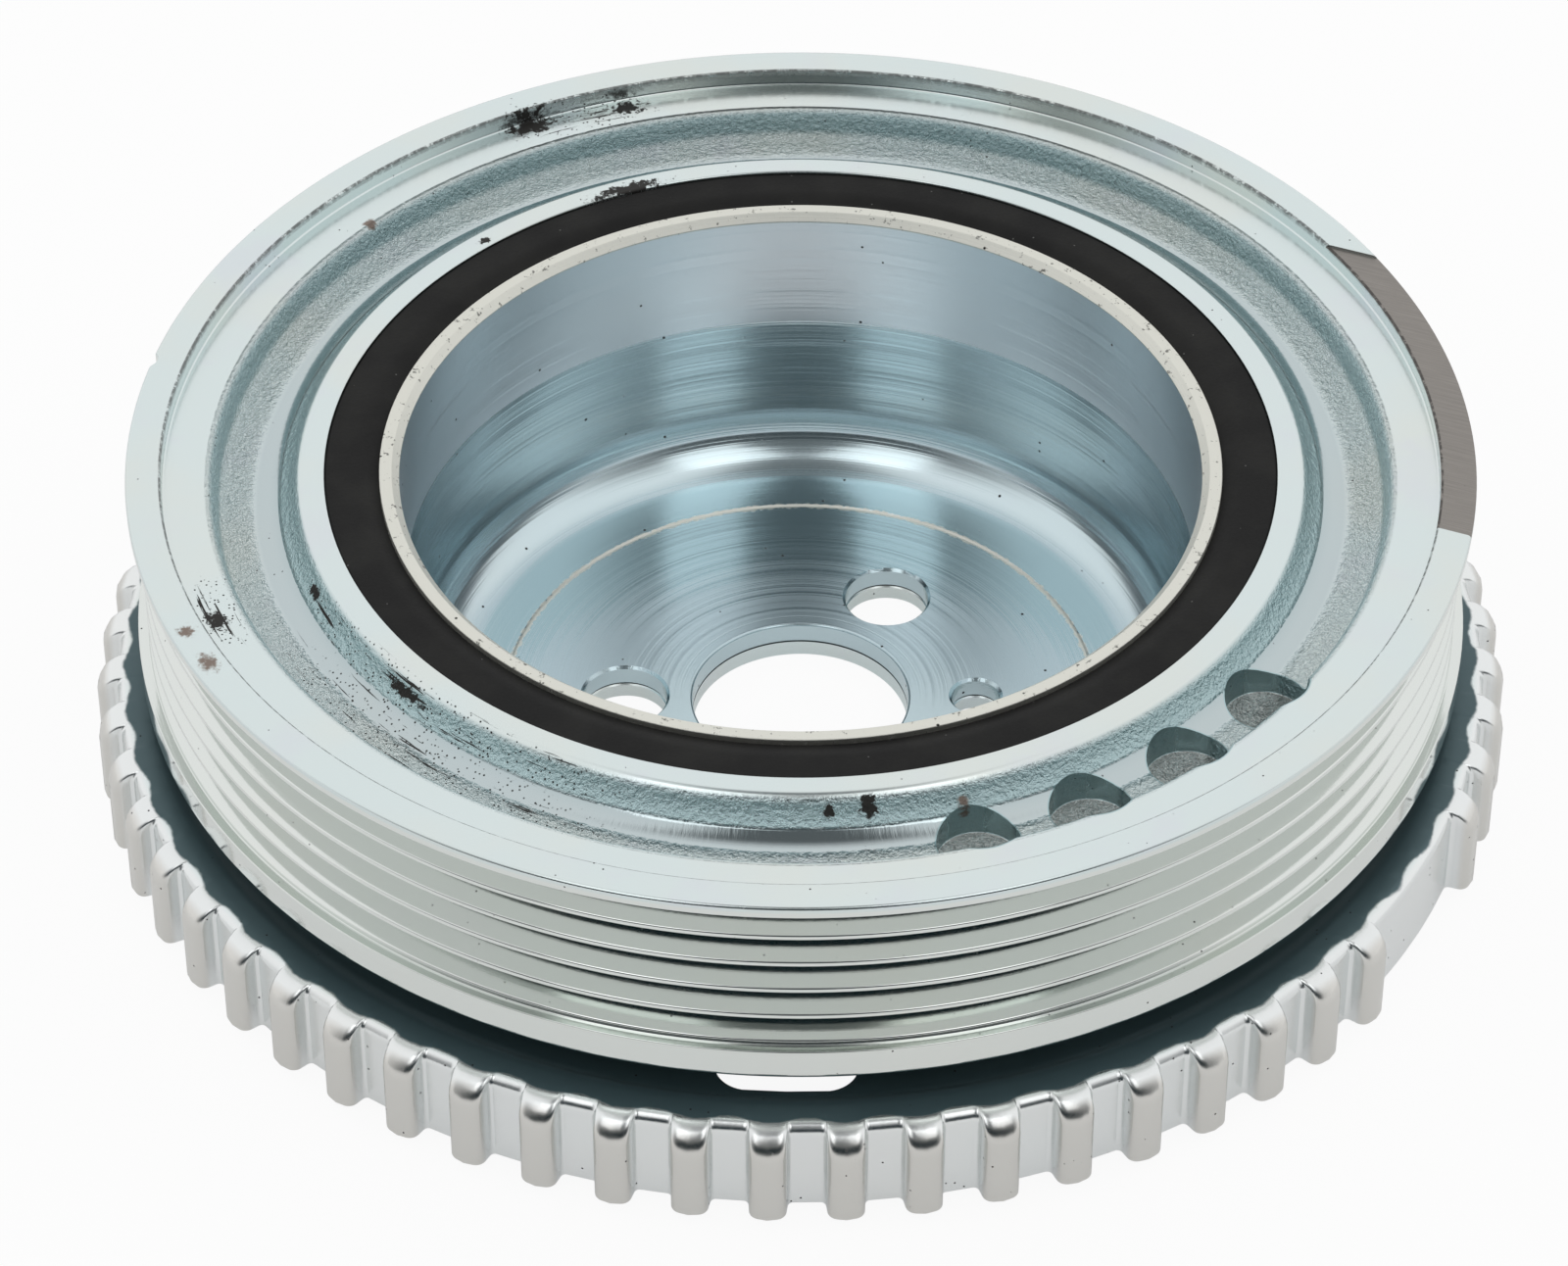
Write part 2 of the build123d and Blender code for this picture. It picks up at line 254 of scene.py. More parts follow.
class StageSettings(bpy.types.PropertyGroup):
    """Camera, lamps and floor."""

    camera_distance: length("Camera distance", "From the lens to the axis at the rim's height", 617.32)
    camera_elevation: angle("Camera elevation", "Height angle of the lens over the rim", 39.176)
    camera_pitch: angle("Camera pitch", "How far the lens looks down", 41.026)
    camera_yaw: angle("Camera yaw", "How far the lens looks to the right", -0.2124)
    camera_roll: angle("Camera roll", "Turn of the picture about the line of sight", -0.0771)
    lens: number("Lens", "Focal length in mm on a 36 mm wide frame", 135.0)
    floor_size: length("Floor size", "Width of the square floor", 8000.0)
    floor_gap: length("Floor gap", "From the part down to the floor", 0.02)
    floor_glow: number("Floor glow", "Share of plain white seen in the floor", 0.93)
    floor_mirror: number("Floor in metal", "Share of plain white that metal sees", 0.35)
    softbox_distance: length("Softbox distance", "From a softbox to the axis", 1100.0)
    softbox_swing: angle("Softbox swing", "How far a softbox stands to the camera's side", 31.0)
    softbox_rise: angle("Softbox rise", "Height angle of a softbox", 54.0)
    softbox_width: length("Softbox width", "Width of a softbox", 360.0)
    softbox_height: length("Softbox height", "Height of a softbox", 700.0)
    softbox_glow: number("Softbox glow", "Radiance of a softbox", 1.0)
    sky_back: number("Sky behind", "Level of the sky behind the part", 0.95)
    sky_front: number("Sky in front", "Level of the sky at the camera", 0.2)
    sky_strip: number("Sky strip", "Level of the dark strip over the camera", 0.15)
    light_tint: colour("Light tint", "Colour of the bright sky", (1.0, 1.0, 1.0))
    shade_tint: colour("Shade tint", "Colour of the darkest sky", (0.0, 0.01, 0.015))


GROUPS = {
    "balancer_hub": HubSizes,
    "balancer_rubber": RubberSizes,
    "balancer_ring": RingSizes,
    "balancer_wheel": WheelSizes,
    "balancer_colours": BalancerColours,
    "balancer_stage": StageSettings,
}


def rounded(corners, fine_arc=FINE_ARC):
    """Path through (r, z, radius) corners of a closed section, with rounded corners as arcs."""
    path = []
    for place, (r, z, radius) in enumerate(corners):
        corner = complex(r, z)
        if radius == 0:
            path.append(corner)
            continue
        back = complex(*corners[place - 1][:2]) - corner
        onward = complex(*corners[(place + 1) % len(corners)][:2]) - corner
        back /= abs(back)
        onward /= abs(onward)
        half = abs(phase(onward / back)) / 2
        centre = corner + (back + onward) / abs(back + onward) * radius / sin(half)
        spoke = corner + back * radius / tan(half) - centre
        last_spoke = corner + onward * radius / tan(half) - centre
        sweep = phase(last_spoke / spoke)
        arc_step = fine_arc if radius > SMALL_RADIUS else COARSE_ARC
        steps = max(2, ceil(abs(sweep) / arc_step - WELD))
        path += [centre + spoke * rect(1, sweep * step / steps) for step in range(steps + 1)]
    return [(point.real, point.imag) for point in path]


def parallel(corners, distance):
    """Corners of an open path moved to its right by distance, with the bend radii that suit."""
    points = [complex(r, z) for r, z, radius in corners]
    moved = []
    for place, point in enumerate(points):
        before = point - points[place - 1] if place else points[1] - point
        after = points[place + 1] - point if place + 1 < len(points) else before
        first = before / abs(before) * -1j
        second = after / abs(after) * -1j
        shift = (first + second) / abs(first + second) ** 2 * 2 * distance
        turn = phase(after / before)
        radius = corners[place][2]
        if radius:
            radius += distance if turn > 0 else -distance
        moved.append(((point + shift).real, (point + shift).imag, max(radius, 0.0)))
    return moved


def make_active(piece):
    bpy.ops.object.select_all(action="DESELECT")
    piece.select_set(True)
    bpy.context.view_layer.objects.active = piece


def lathe(name, path, steps):
    """Extrude one point along a closed path in the XZ plane, and spin the section round the axis."""
    first_r, first_z = path[0]
    bpy.ops.object.select_all(action="DESELECT")
    bpy.ops.mesh.primitive_plane_add(size=MM, location=(first_r, 0.0, first_z))
    piece = bpy.context.object
    piece.name = name
    piece.data.name = name
    bpy.ops.object.transform_apply()
    bpy.ops.object.mode_set(mode="EDIT")
    bpy.ops.mesh.merge(type="CENTER")
    for (r, z), (next_r, next_z) in zip(path, path[1:] + path[:1]):
        move = {"value": (next_r - r, 0.0, next_z - z)}
        bpy.ops.mesh.extrude_region_move(TRANSFORM_OT_translate=move)
    bpy.ops.mesh.select_all(action="SELECT")
    bpy.ops.mesh.remove_doubles(threshold=WELD)
    bpy.ops.mesh.spin(steps=steps, angle=2 * pi, center=(0.0, 0.0, 0.0), axis=(0.0, 0.0, 1.0))
    bpy.ops.mesh.select_all(action="SELECT")
    bpy.ops.mesh.remove_doubles(threshold=WELD)
    bpy.ops.mesh.normals_make_consistent(inside=False)
    bpy.ops.object.mode_set(mode="OBJECT")
    return piece


def copies_round(piece, count, step):
    """Join turned copies of a piece to it, each one step further round the axis."""
    others = []
    for turn in range(1, count):
        copy = piece.copy()
        copy.data = piece.data.copy()
        copy.data.transform(Matrix.Rotation(turn * step, 4, "Z"))
        bpy.context.scene.collection.objects.link(copy)
        others.append(copy)
    make_active(piece)
    for copy in others:
        copy.select_set(True)
    if others:
        bpy.ops.object.join()
    return piece


def cut(piece, cutter):
    """Take a cutter away from a piece."""
    make_active(piece)
    bpy.ops.object.modifier_add(type="BOOLEAN")
    modifier = piece.modifiers[-1]
    modifier.operation = "DIFFERENCE"
    modifier.solver = "EXACT"
    modifier.object = cutter
    bpy.ops.object.modifier_apply(modifier=modifier.name)
    bpy.data.objects.remove(cutter)


def smooth(piece):
    """Smooth shading up to the sharp edges, with flat faces kept flat."""
    make_active(piece)
    bpy.ops.object.shade_smooth_by_angle(angle=SHARP_EDGE)
    bpy.ops.object.modifier_add(type="WEIGHTED_NORMAL")
    modifier = piece.modifiers[-1]
    modifier.keep_sharp = True
    bpy.ops.object.modifier_apply(modifier=modifier.name)


def stand_for(piece, node, finish):
    """Give a finished piece its material and its body, and hide the CAD node that it shows."""
    piece.data.materials.clear()
    piece.data.materials.append(finish.material)
    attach(piece, ROOT_BODY)
    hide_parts(node)


def hole_cutter(name, radius, low, high, edge):
    """A cutter on the axis for a hole from low to high, with both of its edges eased."""
    path = [
        (0.0, low - PAST),
        (radius + edge, low - PAST),
        (radius + edge, low),
        (radius, low + edge),
        (radius, high - edge),
        (radius + edge, high),
        (radius + edge, high + PAST),
        (0.0, high + PAST),
    ]
    return lathe(name, path, HOLE_STEPS)


def cut_crankshaft_holes(piece, low, high, edge):
    """Cut the bolt circle and the dowel hole, as the record's mounts place them."""
    bolts = mounts["bolt_circle"]["dims"]
    first_bolt = radians(60)
    cutter = hole_cutter("bolt_cutter", bolts["hole_r_mm"] * MM, low, high, edge)
    cutter.data.transform(Matrix.Translation((bolts["pcd_mm"] / 2 * MM, 0.0, 0.0)))
    cutter.data.transform(Matrix.Rotation(first_bolt, 4, "Z"))
    cut(piece, copies_round(cutter, bolts["count"], 2 * pi / bolts["count"]))
    dowel = mounts["dowel_hole"]
    cutter = hole_cutter("dowel_cutter", dowel["dims"]["r_mm"] * MM, low, high, edge)
    cutter.data.transform(Matrix.Translation(dowel["pos_m"]))
    cut(piece, cutter)


class Value:
    """A number socket of a node tree. Arithmetic on it adds Math nodes."""

    def __init__(self, finish, socket):
        self.finish = finish
        self.socket = socket

    def math(self, operation, *others):
        sockets = dict(enumerate((self, *others)))
        return self.finish.node("ShaderNodeMath", {"operation": operation}, sockets)

    def __add__(self, other):
        return self.math("ADD", other)

    def __radd__(self, other):
        return self.math("ADD", other)

    def __sub__(self, other):
        return self.math("SUBTRACT", other)

    def __rsub__(self, other):
        return (self * -1).math("ADD", other)

    def __mul__(self, other):
        return self.math("MULTIPLY", other)

    def __rmul__(self, other):
        return self.math("MULTIPLY", other)

    def __truediv__(self, other):
        return self.math("DIVIDE", other)


class Nodes:
    """A node tree being built."""

    def __init__(self, tree):
        self.tree = tree

    def node(self, kind, settings=None, sockets=None, output=0):
        """Add a node, set its settings, then its sockets, and give back one of its outputs."""
        made = self.tree.nodes.new(kind)
        for key, value in (settings or {}).items():
            setattr(made, key, value)
        for key, value in (sockets or {}).items():
            self.feed(made.inputs[key], value)
        return Value(self, made.outputs[output])

    def feed(self, socket, value):
        if isinstance(value, Value):
            self.tree.links.new(value.socket, socket)
        elif socket.type == "RGBA":
            socket.default_value = (*value, 1.0)
        else:
            socket.default_value = value

    def split(self, vector):
        parts = self.node("ShaderNodeSeparateXYZ", None, {0: vector}).socket.node.outputs
        return [Value(self, socket) for socket in parts]

    def join(self, x, y, z):
        return self.node("ShaderNodeCombineXYZ", None, {"X": x, "Y": y, "Z": z})

    def step(self, value, low, high, to_low=0.0, to_high=1.0):
        """A smooth step from to_low at low to to_high at high."""
        sockets = {"Value": value, "From Min": low, "From Max": high, "To Min": to_low, "To Max": to_high}
        return self.node("ShaderNodeMapRange", {"interpolation_type": "SMOOTHSTEP"}, sockets)

    def band(self, value, low, high, soft=0.15):
        """One between low and high, zero outside."""
        rise = self.step(value, low - soft, low + soft)
        return rise * self.step(value, high - soft, high + soft, 1.0, 0.0)

    def mix(self, factor, first, second):
        """Mix two colours."""
        return self.node("ShaderNodeMix", {"data_type": "RGBA"}, {0: factor, 6: first, 7: second}, 2)


class Finish(Nodes):
    """A material being built on one Principled shader, with places in millimetres."""

    def __init__(self, name):
        self.material = bpy.data.materials.new(name)
        self.material.use_nodes = True
        super().__init__(self.material.node_tree)
        self.shader = self.tree.nodes["Principled BSDF"]
        place = self.node("ShaderNodeTexCoord", output="Object")
        scaled = {0: place, "Scale": 1 / MM}
        self.place = self.node("ShaderNodeVectorMath", {"operation": "SCALE"}, scaled)
        self.x, self.y, self.z = self.split(self.place)
        self.r = (self.x * self.x + self.y * self.y).math("SQRT")
        self.turn = self.y.math("ARCTAN2", self.x)

    def set(self, name, value):
        self.feed(self.shader.inputs[name], value)

    def noise(self, scale, detail=2.0, roughness=0.5, vector=None):
        """Noise with this many features to the millimetre."""
        sockets = {
            "Vector": vector or self.place,
            "Scale": scale,
            "Detail": detail,
            "Roughness": roughness,
        }
        return self.node("ShaderNodeTexNoise", None, sockets)

    def rings(self, scale, detail=3.0, drift=0.0):
        """Noise in rings round the axis, as turning leaves them. A drift makes them run out."""
        return self.noise(scale, detail, 0.6, self.join(self.r, self.z, self.turn * drift))

    def specks(self, scale, size, share):
        """Round spots: cells to the millimetre, radius in cells, and share of cells with a spot."""
        sockets = {"Vector": self.place, "Scale": scale}
        near = self.node("ShaderNodeTexVoronoi", None, sockets, "Distance")
        chance = self.split(Value(self, near.socket.node.outputs["Color"]))[0]
        return self.step(near, size, size * 0.6) * chance.math("LESS_THAN", share)

    def near(self, r, degrees_round, reach, width):
        """One in the middle of a spot, falling to zero at reach along the turn and width across."""
        across = (self.r - r) / width
        along = (self.turn - radians(degrees_round)) * (r / reach)
        return 1 - (across * across + along * along).math("SQRT").math("MINIMUM", 1.0)

    def near_any(self, places):
        """Summed nearness to spots, each given by radius, degrees round, reach and width."""
        nearness = 0
        for place in places:
            nearness = self.near(*place) + nearness
        return nearness

    def bump(self, height):
        """Height in millimetres over the face, as a normal."""
        return self.node("ShaderNodeBump", None, {"Height": height, "Distance": MM}, "Normal")


def zinc_plate(name):
    """Bright zinc: pale blue, with faint warm and lilac drifts. Gives the finish and its colour."""
    colours = bpy.context.scene.balancer_colours
    plate = Finish(name)
    warm = plate.step(plate.noise(0.05, 3.0), 0.42, 0.68)
    tint = plate.mix(warm * 0.6, colours.zinc, colours.zinc_warm)
    lilac = plate.step(plate.noise(0.09, 4.0, 0.6), 0.52, 0.72)
    return plate, plate.mix(lilac * 0.45, tint, colours.zinc_lilac)


def soil(finish, tint, roughness, dirt, height, film=0.0):
    """Set a zinc finish with dirt over it, painted shadow lines included, and a share that takes away some
    of its metal look, which the tone wheel's painted shade on its disc uses.
    """
    colours = bpy.context.scene.balancer_colours
    finish.set("Base Color", finish.mix(dirt, tint, colours.dirt))
    finish.set("Metallic", (1 - dirt) * (1 - film))
    finish.set("Roughness", roughness + dirt * 0.5)
    finish.set("Normal", finish.bump(height))
    return finish


def hub_finish():
    """Satin drawn wall painted paler above the lower draw mark as painted light, a floor painted darker as
    painted shade, a faced floor with a ragged pale edge painted as a highlight, and a pale turned lip.
    """
    colours = bpy.context.scene.balancer_colours
    size = bpy.context.scene.balancer_hub
    low, high = (corner.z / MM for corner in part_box("hub"))
    floor = low + size.floor / MM
    lip_foot = high - size.chamfer / MM
    lower_mark = high - size.lower_mark / MM
    facing = size.facing / MM
    hub, tint = zinc_plate("hub_zinc")
    tint = hub.mix(0.7, tint, colours.hub)
    lines = hub.rings(2.5)
    drawn = hub.rings(0.5, 4.0)
    grain = hub.noise(3.0, 3.0)
    lip = hub.step(hub.z, lip_foot - 0.2, lip_foot)
    upper_wall = hub.step(hub.z, lower_mark - 0.2, lower_mark + 0.2)
    # Painted highlight: a ragged pale band along the edge of the faced middle, which is also rougher
    wavering = hub.r + (hub.noise(1.3, 3.0) - 0.5) * 0.9
    facing_edge_highlight = hub.band(wavering, facing - 0.25, facing + 0.25, 0.12)
    facing_edge_highlight *= hub.step(hub.z, floor + 1.7, floor + 0.7)
    # Painted light: the wall above the lower draw mark is painted paler
    tint = hub.mix(upper_wall * 0.9, tint, colours.hub_wall_painted_light)
    # Painted shade: darker towards the floor of the cup
    tint = hub.mix(hub.step(hub.z, floor + 1.2, floor + 0.3) * 0.7, tint, colours.hub_floor_painted_shade)
    tint = hub.mix(lip, tint, colours.lip)
    # The faced edge's pale band is a painted highlight
    tint = hub.mix(facing_edge_highlight, tint, colours.lip)
    pits = hub.specks(0.45, 0.09, 0.25)
    ragged = lip * hub.step(hub.noise(1.1, 5.0, 0.7), 0.60, 0.66) * 0.7
    seam = hub.band(hub.z, low - 0.2, low + 0.2, 0.1) * hub.step(hub.r, facing - 2.0, facing - 4.0) * 0.8
    dirt = pits.math("MAXIMUM", ragged).math("MAXIMUM", seam)
    roughness = 0.15 + upper_wall * 0.13 + lip * 0.2 + grain * 0.06 + facing_edge_highlight * 0.25
    height = lines * 0.004 + drawn * 0.1 + grain * 0.0015 + lip * hub.noise(2.0, 3.0) * 0.02
    return soil(hub, tint, roughness, dirt, height)


def ring_levels(unit=1.0):
    """Radii and heights of the ring's steps, recess and drillings, in metres or in another unit."""
    size = bpy.context.scene.balancer_ring
    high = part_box("inertia_ring")[1]
    rim_edge = high.x - size.rim_width
    face = high.z - size.face_drop
    face_edge = rim_edge - size.face_width
    recess = face - size.recess_depth
    recess_foot = face_edge - size.recess_draft
    collar_foot = recess_foot - size.recess_floor
    levels = {
        "rim": high.x,
        "rim_edge": rim_edge,
        "face_edge": face_edge,
        "recess_foot": recess_foot,
        "collar_foot": collar_foot,
        "collar_edge": collar_foot - size.collar_slope,
        "drill_circle": recess_foot - size.recess_floor / 2 + size.recess_draft,
        "top": high.z,
        "face": face,
        "recess": recess,
        "collar": high.z - size.collar_drop,
        "drill_end": recess - size.drill_depth,
    }
    return SimpleNamespace(**{name: value / unit for name, value in levels.items()})


def drillings(ring, level):
    """One inside the balance drillings, zero outside."""
    size = bpy.context.scene.balancer_ring
    wall = size.drill_radius / MM
    inside = 0
    for drilling in range(size.drill_count):
        turn = size.drill_start + drilling * size.drill_step
        east = ring.x - level.drill_circle * cos(turn)
        north = ring.y - level.drill_circle * sin(turn)
        away = (east * east + north * north).math("SQRT")
        inside = ring.step(away, wall + 0.2, wall + 0.05) + inside
    return inside


def belt_face(ring, level):
    """One on the outside of the ring: flanges and belt grooves."""
    outside = ring.step(ring.z, level.top - 0.4, level.top - 0.8)
    outside *= ring.step(ring.r, level.rim_edge - 0.7, level.rim_edge - 0.5)
    turned_face = ring.step(ring.z, level.face - 0.4, level.face - 0.2)
    turned_face *= ring.step(ring.r, level.rim_edge + 0.4, level.rim_edge + 0.2)
    return outside * (1 - turned_face)


def on_top(ring, level):
    """One on the faces of the ring's upper side, zero on the belt face and in the drillings."""
    return ring.step(ring.z, level.recess - 0.3, level.recess - 0.1) * (1 - belt_face(ring, level))


def milled_patch(ring, level):
    """One on the milled balance patch, and the noise of its parallel lines."""
    size = bpy.context.scene.balancer_ring
    slant = size.patch_slant
    across = ring.y * cos(slant) - ring.x * sin(slant)
    along = ring.x * cos(slant) + ring.y * sin(slant)
    middle = level.rim - size.rim_width / MM / 2
    first = middle * sin(size.patch_start - slant)
    last = middle * sin(size.patch_end - slant)
    patch = ring.band(across, first, last, 0.05) * ring.step(ring.x, 0.0, 1.0)
    patch *= ring.step(ring.z, level.top - 0.5, level.top - 0.4)
    patch *= ring.step(ring.r, level.rim_edge - 0.2, level.rim_edge)
    return patch, ring.noise(1.0, 4.0, 0.7, ring.join(across * 5.0, along * 0.12, 0.0))


def ring_spots(ring, level):
    """Brown spots of old grease, where they lie on the ring."""
    places = (
        (69.0, -154.0, 1.8, 1.6),
        (69.0, -149.6, 2.4, 1.7),
        (62.5, 139.5, 1.2, 1.2),
        (54.0, -72.7, 1.0, 0.9),
    )
    nearness = ring.near_any(places)
    spots = ring.step(nearness * 0.6 + ring.noise(1.5, 4.0, 0.7), 0.68, 0.95)
    return spots * ring.step(nearness, 0.0, 0.3) * on_top(ring, level)


def ring_dirt_and_shadow_line(ring, level):
    """Black smears and fields of specks where they lie on the ring, and a thin painted shadow line at the
    rim's inner edge.
    """
    smears = (
        (65.4, 107.5, 3.5, 2.2),
        (66.1, 117.6, 5.0, 2.4),
        (50.6, 112.5, 8.0, 1.6),
        (51.0, 133.0, 1.5, 1.0),
        (65.0, -156.0, 3.0, 1.8),
        (53.4, -82.8, 1.6, 1.4),
        (53.6, -87.0, 1.0, 0.8),
        (53.6, -138.0, 5.0, 0.7),
        (53.8, -158.0, 2.5, 0.7),
    )
    fields = (
        (58.0, -131.0, 26.0, 3.6),
        (53.8, -134.0, 28.0, 1.8),
        (64.5, -157.0, 7.0, 2.6),
        (65.0, 112.0, 10.0, 3.0),
    )
    ragged = ring.noise(1.3, 5.0, 0.75)
    near_smear = ring.near_any(smears)
    smudge = ring.step(ragged + near_smear * 0.45, 0.70, 0.76) * ring.step(near_smear, 0.0, 0.2)
    near_field = ring.near_any(fields)
    speckled = ring.specks(2.4, 0.34, 0.45) * ring.step(ragged + near_field * 0.4, 0.48, 0.6)
    lined = ring.step(ring.rings(2.2, 4.0, 3.0) + near_field * 0.12, 0.66, 0.7)
    peppered = speckled.math("MAXIMUM", lined) * ring.step(near_field, 0.0, 0.25)
    marks = smudge.math("MAXIMUM", peppered) * on_top(ring, level)
    # Painted shadow: a thin ragged dark line along the step at the rim's inner edge
    painted_shadow_line = ring.band(ring.r, level.rim_edge, level.rim_edge + 0.25, 0.06)
    painted_shadow_line *= ring.step(ring.z, level.top - 0.8, level.top - 0.5)
    painted_shadow_line *= ring.step(ragged, 0.35, 0.55) * 0.7
    sparse = ring.specks(1.1, 0.14, 0.07) * ring.step(ring.noise(0.08, 3.0), 0.4, 0.6)
    return marks.math("MAXIMUM", painted_shadow_line).math("MAXIMUM", sparse)


def ring_finish():
    """Turned faces, rough cast recess walls, belt grooves, milled patch and drillings."""
    colours = bpy.context.scene.balancer_colours
    ring, tint = zinc_plate("ring_zinc")
    level = ring_levels(MM)
    lines = ring.rings(2.0, 3.0, 0.3)
    grain = ring.noise(2.4, 3.0, 0.6)
    sand = ring.noise(1.7, 3.0, 0.7)
    crackle = ring.noise(1.1, 4.0, 0.7)

    # The recess beside the collar: cast walls and floor, and a turned foot with chatter marks; walls and
    # foot are painted darker as painted shade
    in_recess = ring.band(ring.r, level.collar_edge + 0.3, level.face_edge + 0.7, 0.3)
    in_recess *= ring.step(ring.z, level.drill_end - 3.9, level.drill_end - 2.9)
    walls = in_recess * ring.step(ring.z, level.recess + 0.2, level.recess + 1.3)
    walls *= ring.step(ring.z, level.face, level.face - 0.5)
    cast_floor = in_recess * ring.step(ring.r, level.collar_foot + 2.2, level.collar_foot + 3.7)
    slope = in_recess * ring.step(ring.r, level.collar_foot + 0.2, level.collar_foot - 0.2)
    cast = cast_floor.math("MAXIMUM", slope)
    turned_foot = in_recess * (1 - cast)
    streaks = ring.join(ring.turn * 90.0, ring.r * 0.3, 0.0)
    chatter = turned_foot * ring.noise(1.0, 3.0, 0.6, streaks)
    # Painted shade: the recess walls and the collar slope are painted darker
    tint = ring.mix(walls.math("MAXIMUM", slope) * 0.9, tint, colours.cast)
    # Painted reflection: the turned foot is painted darker
    tint = ring.mix(turned_foot * 0.75, tint, colours.foot)

    # Balance drillings: smooth walls painted darker with the cast colour as painted shade, crackled ends
    drilled = drillings(ring, level)
    drill_end = drilled * ring.step(ring.z, level.drill_end + 0.2, level.drill_end)
    tint = ring.mix(drilled, tint, colours.cast)
    tint = ring.mix(drill_end, tint, colours.crackle)
    cast *= 1 - drilled

    # Belt face, milled patch and brown spots
    belt = belt_face(ring, level)
    tint = ring.mix(belt * 0.8, tint, colours.belt)
    patch, milling = milled_patch(ring, level)
    tint = ring.mix(patch, tint, ring.mix(milling, colours.milled_dark, colours.milled))
    spots = ring_spots(ring, level)
    tint = ring.mix(spots, tint, colours.brown)

    # The belt face and the turned foot are brighter than the rest
    mirror = belt.math("MAXIMUM", turned_foot) * 0.8
    roughness = 0.17 + grain * 0.08 - mirror * (0.11 + grain * 0.08)
    roughness += cast * 0.05 + drilled * 0.1 + patch * 0.25 + spots * 0.3
    height = lines * 0.004 + grain * 0.002 + chatter * 0.012
    height += (cast_floor * 0.7 + slope * 0.25) * sand
    height += drill_end * crackle * 0.7 + patch * milling * 0.02
    return soil(ring, tint, roughness, ring_dirt_and_shadow_line(ring, level), height)


def wheel_finish():
    """Satin pressed sheet with warm teeth, small pits, a skirt painted brighter as a painted reflection,
    and painted shade on the disc under the ring.
    """
    colours = bpy.context.scene.balancer_colours
    size = bpy.context.scene.balancer_wheel
    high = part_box("tone_wheel")[1] / MM
    root = high.x - size.tooth_height / MM
    painted_shade_foot = high.z - 7.5
    wheel, tint = zinc_plate("wheel_zinc")
    # Painted reflection: the skirt is painted brighter; the teeth then take their own warm colour
    tint = wheel.mix(wheel.step(wheel.r, root - 1.4, root - 0.4) * 0.8, tint, colours.root)
    tint = wheel.mix(wheel.step(wheel.r, root + 0.8, root + 1.8) * 0.75, tint, colours.teeth)

    # Painted shade on the disc under the ring: dark and less metallic, ending in a wave that follows the
    # teeth
    wave = ((wheel.turn - size.first_tooth) * size.pitches).math("COSINE")
    edge = wheel.r - wave * 0.35 + (wheel.noise(0.8, 3.0) - 0.5) * 0.5
    disc = wheel.step(edge, root - 0.7, root - 1.1) * wheel.step(wheel.z, painted_shade_foot, painted_shade_foot + 1.0)
    tint = wheel.mix(disc, tint, colours.disc)
    grain = wheel.noise(1.8, 4.0, 0.6)
    pits = wheel.specks(1.1, 0.15, 0.12)
    roughness = 0.2 + grain * 0.1 + disc * 0.15
    height = grain * 0.006 + wheel.noise(0.5, 2.0) * 0.01
    # The painted shade on the disc also takes away some of its metal look
    return soil(wheel, tint, roughness, pits, height, disc * 0.6)


def rubber_finish():
    """Matt black rubber with fine grain and pale dust."""
    colours = bpy.context.scene.balancer_colours
    rubber = Finish("damping_rubber")
    grain = rubber.noise(2.5, 4.0, 0.65)
    dust = rubber.specks(0.9, 0.1, 0.12)
    worn = rubber.step(rubber.noise(0.15, 3.0), 0.35, 0.7)
    tint = rubber.mix(worn, colours.rubber, colours.rubber_worn)
    rubber.set("Base Color", rubber.mix(dust * 0.5, tint, colours.dust))
    rubber.set("Roughness", 0.48 + grain * 0.2)
    rubber.set("Specular IOR Level", 0.12)
    rubber.set("Normal", rubber.bump(grain * 0.03))
    return rubber


class BALANCER_OT_hub(bpy.types.Operator):
    """Turn the drawn hub cup and cut its holes."""

    bl_idname = "balancer.hub"
    bl_label = "Hub"

    def execute(self, context):
        size = context.scene.balancer_hub
        low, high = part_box("hub")
        bore = mounts["crank_bore"]["dims"]["r_mm"] * MM
        outer = high.x
        inner = outer - size.wall
        floor = low.z + size.floor
        skin = size.skin
        corners = [
            (bore, low.z, size.hole_edge),
            (outer, low.z, size.corner + (size.wall + size.floor) / 2),
            (outer, high.z, skin),
            (inner + size.chamfer, high.z, skin),
            (inner, high.z - size.chamfer, skin),
            *self.draw_mark(inner, high.z - size.upper_mark, size.mark_step),
            *self.draw_mark(inner - size.mark_step, high.z - size.lower_mark, size.mark_step),
            (inner - 2 * size.mark_step, floor + size.facing_depth, size.corner),
            (size.facing + size.facing_depth, floor + size.facing_depth, 0.0),
            (size.facing, floor, 0.0),
            (bore, floor, size.hole_edge),
        ]
        hub = lathe("hub_cup", rounded(corners), ROUND_STEPS)
        cut_crankshaft_holes(hub, low.z, floor, size.hole_edge)
        smooth(hub)
        stand_for(hub, "hub", hub_finish())
        return {"FINISHED"}

    def draw_mark(self, r, z, step):
        """Corners of a small step in the wall, left by the drawing die."""
        return [(r, z + step, 0.0), (r - step, z - step, 0.0)]


class BALANCER_OT_rubber(bpy.types.Operator):
    """Turn the damping rubber."""

    bl_idname = "balancer.rubber"
    bl_label = "Damping rubber"

    def execute(self, context):
        size = context.scene.balancer_rubber
        low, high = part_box("rubber_ring")
        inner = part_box("hub")[1].x
        skin = size.skin
        corners = [
            (inner, high.z - size.dip, 0.0),
            (inner, low.z, skin),
            (high.x, low.z, skin),
            (high.x, high.z, skin),
            (inner + size.dip_width, high.z, 2 * size.dip_width),
        ]
        rubber = lathe("rubber_band", rounded(corners), ROUND_STEPS)
        smooth(rubber)
        stand_for(rubber, "rubber_ring", rubber_finish())
        return {"FINISHED"}


